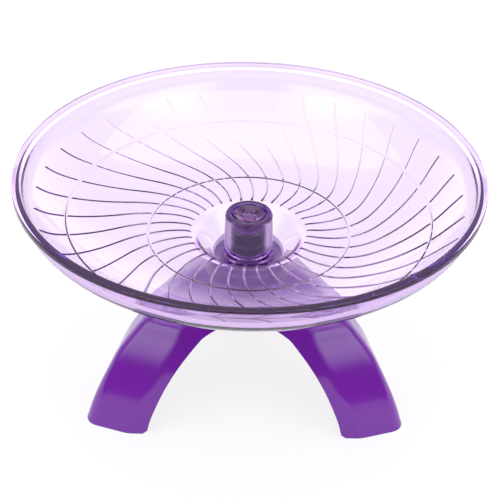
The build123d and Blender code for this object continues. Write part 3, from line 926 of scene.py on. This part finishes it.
def fade(tree, value, start, stop, low, high):
    """Smooth change of a strength over a range of a direction's part."""
    node = tree.nodes.new("ShaderNodeMapRange")
    node.interpolation_type = "SMOOTHSTEP"
    node.inputs["From Min"].default_value = start
    node.inputs["From Max"].default_value = stop
    node.inputs["To Min"].default_value = low
    node.inputs["To Max"].default_value = high
    tree.links.new(value, node.inputs["Value"])
    return node.outputs["Result"]


floor_mesh = bpy.data.meshes.new("floor")
floor_mesh.from_pydata([(-FLOOR_REACH, FLOOR_FRONT, 0), (FLOOR_REACH, FLOOR_FRONT, 0),
                        (FLOOR_REACH, FLOOR_REACH, 0), (-FLOOR_REACH, FLOOR_REACH, 0)],
                       [], [(0, 1, 2, 3)])
floor = bpy.data.objects.new("floor", floor_mesh)
bpy.context.scene.collection.objects.link(floor)

# the paper looks white to the camera and in the plastic, and still takes the shadow
material, nodes, links, shader = new_material("floor_paper")
shader.inputs["Base Color"].default_value = (FLOOR_GREY, FLOOR_GREY, FLOOR_GREY, 1)
shader.inputs["Roughness"].default_value = 0.9
tree = material.node_tree
path = nodes.new("ShaderNodeLightPath").outputs
seen = combine(tree, "MAXIMUM", path["Is Camera Ray"], path["Is Transmission Ray"])
seen = combine(tree, "MAXIMUM", seen, path["Is Glossy Ray"])
light = nodes.new("ShaderNodeEmission")
light.inputs["Strength"].default_value = 1.0
mix = nodes.new("ShaderNodeMixShader")
links.new(combine(tree, "MULTIPLY", seen, FLOOR_GLOW), mix.inputs[0])
links.new(shader.outputs[0], mix.inputs[1])
links.new(light.outputs[0], mix.inputs[2])
links.new(mix.outputs[0], nodes["Material Output"].inputs["Surface"])
floor_mesh.materials.append(material)

world = bpy.data.worlds.new("studio")
bpy.context.scene.world = world
world.use_nodes = True
tree = world.node_tree
nodes, links = tree.nodes, tree.links
background = nodes["Background"]
background.inputs["Color"].default_value = (1, 1, 1, 1)
path = nodes.new("ShaderNodeLightPath").outputs
direction = nodes.new("ShaderNodeTexCoord")
split = nodes.new("ShaderNodeSeparateXYZ")
links.new(direction.outputs["Generated"], split.inputs[0])
back, height = split.outputs["Y"], split.outputs["Z"]
sideways = combine(tree, "ABSOLUTE", split.outputs["X"])

# a white sweep behind the object, brightest low down and not as wide as the room
sweep = combine(tree, "MULTIPLY", fade(tree, height, 0.2, 0.65, 1.0, 0.4),
                fade(tree, back, -0.45, 0.3, 0.1, 2.0))
sweep = combine(tree, "MULTIPLY", sweep, fade(tree, sideways, 0.7, 0.95, 1.0, 0.2))
# a tent to each side of the camera
aside = combine(tree, "MULTIPLY", fade(tree, sideways, 0.12, 0.5, 0.0, 1.0),
                fade(tree, back, -0.25, 0.1, 1.0, 0.0))
tents = combine(tree, "MULTIPLY", aside, fade(tree, height, 0.08, 0.62, 0.0, 2.5))
zenith = fade(tree, height, 0.7, 1.0, 0.0, 0.5)
studio = combine(tree, "ADD", combine(tree, "ADD", sweep, tents), zenith)
# the camera sees white, and the plastic sees white below the floor's level
inside = combine(tree, "MAXIMUM", path["Is Transmission Ray"], path["Is Glossy Ray"])
through = combine(tree, "MULTIPLY", inside, fade(tree, height, -0.03, 0.0, 1.0, 0.0))
seen = combine(tree, "MAXIMUM", path["Is Camera Ray"], through)
links.new(combine(tree, "MAXIMUM", seen, studio), background.inputs["Strength"])
dusk = nodes.new("ShaderNodeBackground")
dusk.inputs["Color"].default_value = (*DUSK, 1)
both = nodes.new("ShaderNodeAddShader")
links.new(background.outputs["Background"], both.inputs[0])
links.new(dusk.outputs["Background"], both.inputs[1])
links.new(both.outputs["Shader"], nodes["World Output"].inputs["Surface"])


def softbox(name, place, aim, size, power):
    """A rectangular area lamp that faces a point."""
    lamp = bpy.data.lights.new(name, "AREA")
    lamp.shape = "RECTANGLE"
    lamp.size, lamp.size_y = size
    lamp.energy = power
    holder = bpy.data.objects.new(name, lamp)
    bpy.context.scene.collection.objects.link(holder)
    holder.location = place
    towards = Vector(aim) - Vector(place)
    holder.rotation_euler = towards.to_track_quat("-Z", "Y").to_euler()


softbox("overhead_softbox", (0.0, 0.1, 1.2), (0, 0, 0.05), (1.6, 1.2), 6.0)

camera_data = bpy.data.cameras.new("camera")
camera_data.sensor_width = SENSOR
camera_data.lens = FOCAL_PIXELS / PHOTO_PIXELS * SENSOR
camera = bpy.data.objects.new("camera", camera_data)
bpy.context.scene.collection.objects.link(camera)
turn = Matrix((CAMERA_RIGHT, CAMERA_UP, -CAMERA_AHEAD)).transposed().to_4x4()
camera.matrix_world = Matrix.Translation(CAMERA_PLACE) @ turn
bpy.context.scene.camera = camera
bpy.context.scene.view_settings.view_transform = "Standard"
